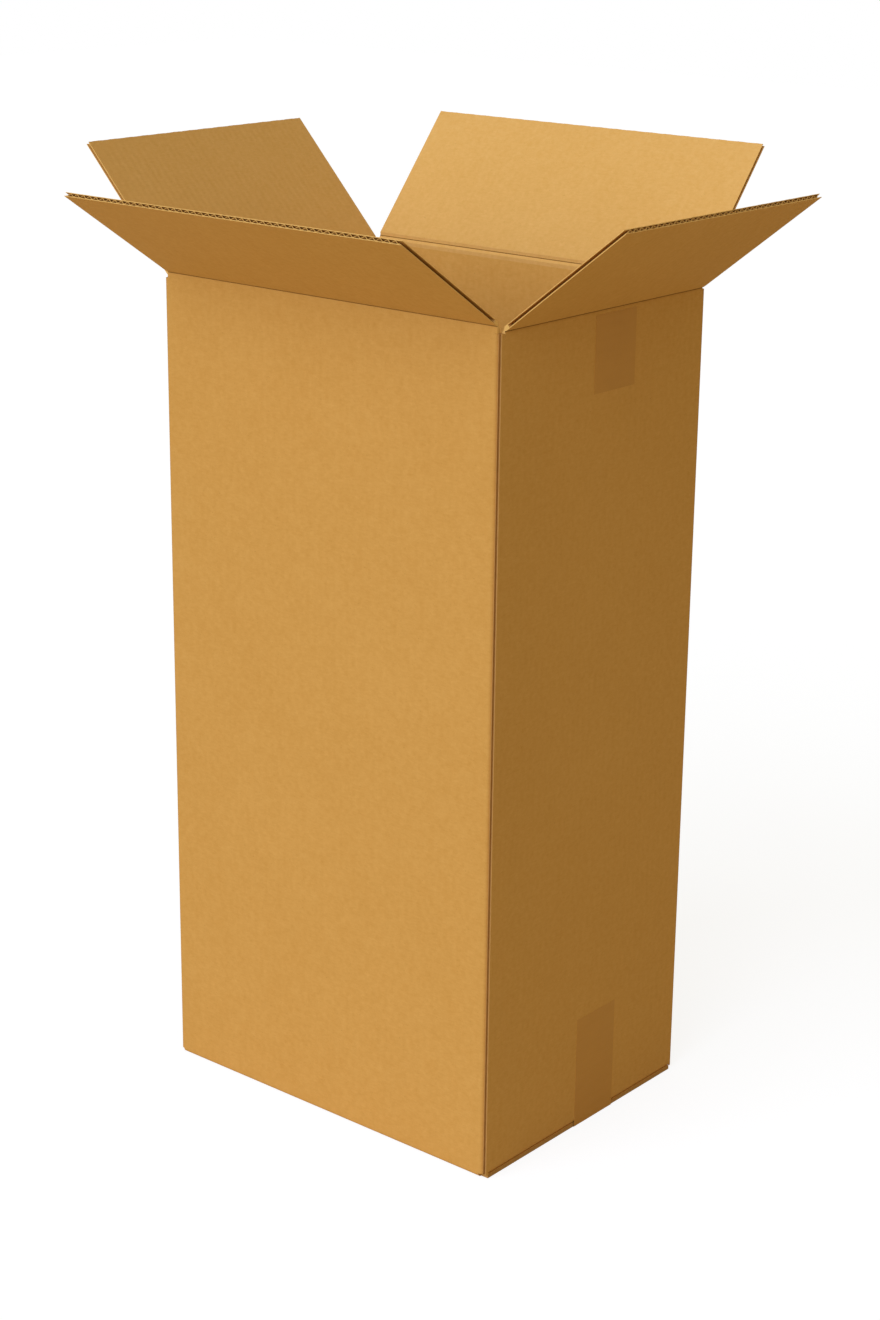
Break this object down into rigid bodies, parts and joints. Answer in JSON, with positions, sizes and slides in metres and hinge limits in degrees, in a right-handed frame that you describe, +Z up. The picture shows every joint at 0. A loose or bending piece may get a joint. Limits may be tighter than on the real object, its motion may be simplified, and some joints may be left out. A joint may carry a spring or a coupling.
{
  "type": "shipping box",
  "caption": "Tall single-wall corrugated shipping box, open at the top, with hinged top flaps, a glued corner and a taped bottom.",
  "frame": {"origin": "on the floor under the middle of the closed box", "axes": "+Z up out of the open top; the 400 mm front panel faces -Y; the 300 mm end panels face +X and -X"},
  "size_m": [0.6252, 0.5179, 0.9163],
  "materials": {
    "board": "plain brown kraft liner, matte",
    "tape": "brown packing tape, slightly glossy"
  },
  "bodies": {
    "carton": {"carton_body": "board", "bottom_tape": "tape", "top_tape_right": "tape", "top_tape_left": "tape"},
    "front_flap": {"front_flap": "board"},
    "right_flap": {"right_flap": "board"},
    "back_flap": {"back_flap": "board"},
    "left_flap": {"left_flap": "board"}
  },
  "joints": [
    {"name": "front_crease", "type": "hinge", "parent": "carton", "child": "front_flap", "pos_m": [0, -0.1495, 0.7995], "axis": [1, 0, 0], "range_deg": [-146.5, 93.5]},
    {"name": "right_crease", "type": "hinge", "parent": "carton", "child": "right_flap", "pos_m": [0.1995, 0, 0.7952], "axis": [0, 1, 0], "range_deg": [-142, 98]},
    {"name": "back_crease", "type": "hinge", "parent": "carton", "child": "back_flap", "pos_m": [0, 0.1495, 0.7995], "axis": [-1, 0, 0], "range_deg": [-129.5, 110.5]},
    {"name": "left_crease", "type": "hinge", "parent": "carton", "child": "left_flap", "pos_m": [-0.1995, 0, 0.7952], "axis": [0, -1, 0], "range_deg": [-133.5, 106.5]}
  ]
}
